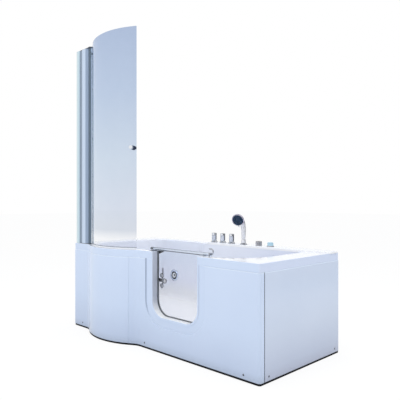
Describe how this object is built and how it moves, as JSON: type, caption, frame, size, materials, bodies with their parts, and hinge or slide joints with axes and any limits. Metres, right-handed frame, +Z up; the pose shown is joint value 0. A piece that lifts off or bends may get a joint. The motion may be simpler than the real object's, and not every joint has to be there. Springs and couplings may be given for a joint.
{
  "type": "walk-in bathtub",
  "caption": "Walk-in shower bath with a bowed front, a hinged glass door in the front panel, a curved pivoting bath screen, deck taps, a hand shower and massage jets.",
  "frame": {"origin": "on the floor, under the middle of the overall box", "axes": "+X along the tub to its backrest end on the right, +Y to the back wall, +Z up"},
  "size_m": [1.702, 0.8499, 2],
  "materials": {
    "acrylic_white": "glossy acrylic",
    "panel_white": "glossy acrylic",
    "black_rubber": "matte",
    "door_glass": "clear",
    "screen_glass": "clear with a blue cast",
    "clear_seal": "smooth",
    "chrome": "polished",
    "steel": "bright",
    "polished_aluminium": "polished",
    "frame_steel": "zinc paint",
    "timber": "raw",
    "grey_plastic": "smooth",
    "white_plastic": "glossy",
    "pump_black": "moulded",
    "motor_grey": "cast",
    "brass": "machined",
    "navy_plastic": "satin"
  },
  "bodies": {
    "tub": {"tub_shell": "acrylic_white", "bow_panel": "panel_white", "door_panel": "panel_white", "end_panel": "panel_white", "door_surround": "panel_white", "floor_strips": "black_rubber", "door_seal": "black_rubber", "foot_pads": "black_rubber", "hinge_bracket": "chrome", "hinge_leaf": "chrome", "latch_pin": "chrome", "waste_flange": "chrome", "overflow_plate": "chrome", "jet_rings": "chrome", "tap_flanges": "chrome", "button_bezel": "chrome", "shower_holder": "chrome", "hinge_pin": "steel", "foot_studs": "steel", "panel_screws": "steel", "wall_channel": "polished_aluminium", "adjuster_profile": "polished_aluminium", "screen_post": "polished_aluminium", "pivot_brackets": "polished_aluminium", "cross_members": "frame_steel", "side_rails": "frame_steel", "frame_posts": "frame_steel", "base_board": "timber", "panel_battens": "timber", "waste_pipe": "grey_plastic", "overflow_pipe": "grey_plastic", "jet_bodies": "grey_plastic", "water_pipes": "grey_plastic", "air_pipe": "grey_plastic", "suction_cover": "white_plastic", "pump_housing": "pump_black", "pump_base": "pump_black", "pump_motor": "motor_grey", "deck_valves": "brass"},
    "door": {"door_glass": "door_glass", "door_rail": "chrome", "hinge_strap": "chrome", "hinge_discs": "chrome"},
    "door_latch": {"latch_hook": "chrome"},
    "bath_screen": {"pivot_tube": "polished_aluminium", "screen_glass": "screen_glass", "screen_seal": "clear_seal", "screen_knob": "chrome"},
    "hot_tap": {"hot_handle": "chrome"},
    "cold_tap": {"cold_handle": "chrome"},
    "diverter": {"diverter_handle": "chrome"},
    "hand_shower": {"hand_shower": "chrome", "shower_face": "navy_plastic"},
    "air_control": {"air_knob": "chrome"},
    "jet_switch": {"jet_button": "chrome"},
    "jet_left": {"jet_nozzle_left": "white_plastic"},
    "jet_middle": {"jet_nozzle_middle": "white_plastic"},
    "jet_right": {"jet_nozzle_right": "white_plastic"},
    "overflow_control": {"overflow_knob": "chrome"},
    "plug": {"waste_plug": "chrome"}
  },
  "joints": [
    {"name": "door_swing", "type": "hinge", "parent": "tub", "child": "door", "pos_m": [0, -0.275, 0.421], "axis": [0, 0, 1], "range_deg": [0, 90]},
    {"name": "latch_turn", "type": "hinge", "parent": "door", "child": "door_latch", "pos_m": [0.45, -0.275, 0.6115], "axis": [1, 0, 0], "range_deg": [0, 90]},
    {"name": "screen_swing", "type": "hinge", "parent": "tub", "child": "bath_screen", "pos_m": [-0.68, -0.31012, 1.3], "axis": [0, 0, 1], "range_deg": [-90, 90]},
    {"name": "hot_turn", "type": "hinge", "parent": "tub", "child": "hot_tap", "pos_m": [-0.109, 0.365, 0.64], "axis": [0, 0, 1], "range_deg": [0, 90]},
    {"name": "cold_turn", "type": "hinge", "parent": "tub", "child": "cold_tap", "pos_m": [-0.0255, 0.365, 0.64], "axis": [0, 0, 1], "range_deg": [-90, 0]},
    {"name": "diverter_turn", "type": "hinge", "parent": "tub", "child": "diverter", "pos_m": [0.058, 0.365, 0.64], "axis": [0, 0, 1], "range_deg": [-45, 45]},
    {"name": "shower_lift", "type": "slide", "parent": "tub", "child": "hand_shower", "axis": [0, 0, 1], "range_m": [0, 0.3]},
    {"name": "air_turn", "type": "hinge", "parent": "tub", "child": "air_control", "pos_m": [0.298, 0.365, 0.62], "axis": [0, 0, 1], "range_deg": [0, 270]},
    {"name": "button_press", "type": "slide", "parent": "tub", "child": "jet_switch", "axis": [0, 0, -1], "range_m": [0, 0.004], "stiffness_N_per_m": 800, "springref_m": -0.004},
    {"name": "jet_left_twist", "type": "hinge", "parent": "tub", "child": "jet_left", "pos_m": [-0.528, 0.355, 0.322], "axis": [0, -1, 0], "range_deg": [0, 180]},
    {"name": "jet_middle_twist", "type": "hinge", "parent": "tub", "child": "jet_middle", "pos_m": [-0.11, 0.32, 0.322], "axis": [0, -1, 0], "range_deg": [0, 180]},
    {"name": "jet_right_twist", "type": "hinge", "parent": "tub", "child": "jet_right", "pos_m": [0.308, 0.32, 0.322], "axis": [0, -1, 0], "range_deg": [0, 180]},
    {"name": "overflow_turn", "type": "hinge", "parent": "tub", "child": "overflow_control", "pos_m": [-0.72, 0.045, 0.5], "axis": [1, 0, 0], "range_deg": [0, 120]},
    {"name": "plug_lift", "type": "slide", "parent": "tub", "child": "plug", "axis": [0, 0, 1], "range_m": [0, 0.008]}
  ],
  "couplings": [
    {"joint": "plug_lift", "follows": "overflow_turn", "m_per_rad": 0.0038}
  ]
}
